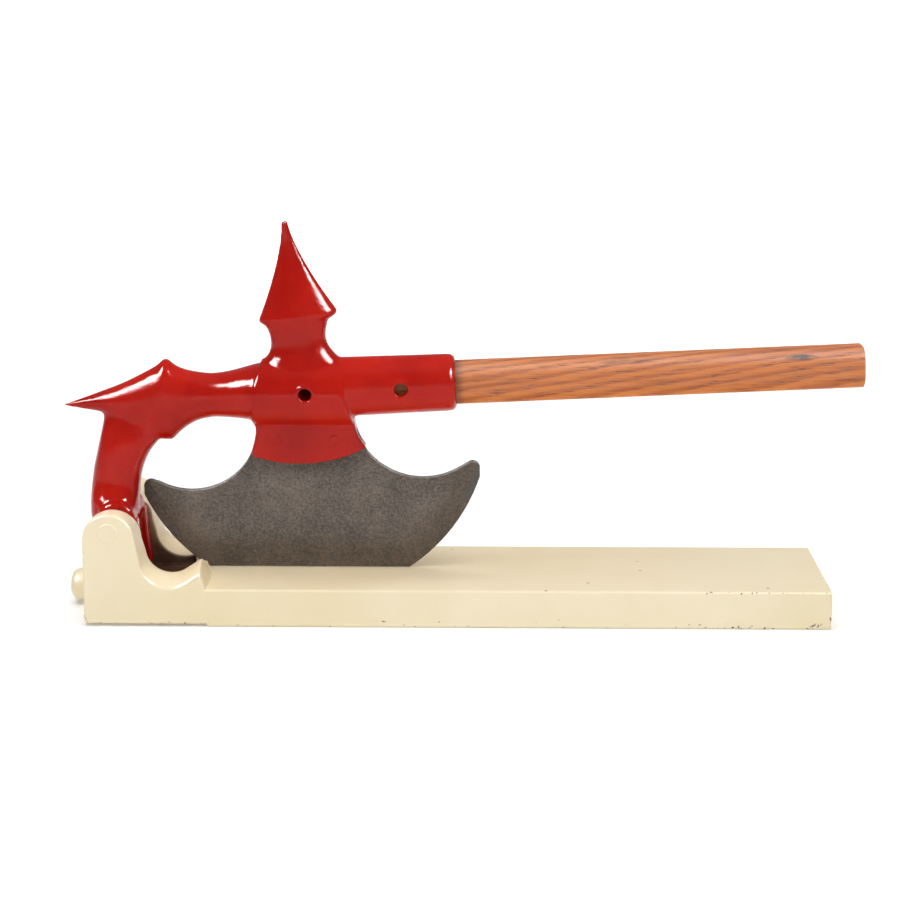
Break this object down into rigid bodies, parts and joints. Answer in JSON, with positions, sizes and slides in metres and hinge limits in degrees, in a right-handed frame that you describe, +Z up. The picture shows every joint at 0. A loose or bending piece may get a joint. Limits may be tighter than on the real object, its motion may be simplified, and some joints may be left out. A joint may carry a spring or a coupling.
{
  "type": "table-top lever cutter",
  "caption": "Table-top lever cutter shaped as a fire axe: a cast head with crescent blade and wooden handle hinged in a bracket on a painted board.",
  "frame": {"origin": "centre of the base's underside, on the surface it stands on", "axes": "+X along the board towards the handle's end, +Y across the board, away from the hinge pin's near end, +Z up"},
  "size_m": [0.4812, 0.101, 0.236],
  "materials": {
    "cream_enamel_wood": "cream gloss enamel over wood",
    "cream_enamel_iron": "cream gloss enamel over cast iron",
    "red_enamel": "red gloss enamel over cast iron",
    "blade_steel": "aged, finely pitted steel",
    "oak": "oiled oak"
  },
  "bodies": {
    "base": {"base_board": "cream_enamel_wood", "hinge_bracket": "cream_enamel_iron", "hinge_pin": "cream_enamel_iron", "tie_bolt": "cream_enamel_iron", "bolt_washer": "cream_enamel_iron", "locating_dowels": "oak"},
    "lever": {"lever_head": "red_enamel", "blade": "blade_steel", "blade_rivets": "red_enamel", "handle": "oak"}
  },
  "joints": [
    {"name": "lever_hinge", "type": "hinge", "parent": "base", "child": "lever", "pos_m": [-0.206, 0, 0.057], "axis": [0, -1, 0], "range_deg": [0, 90]}
  ]
}
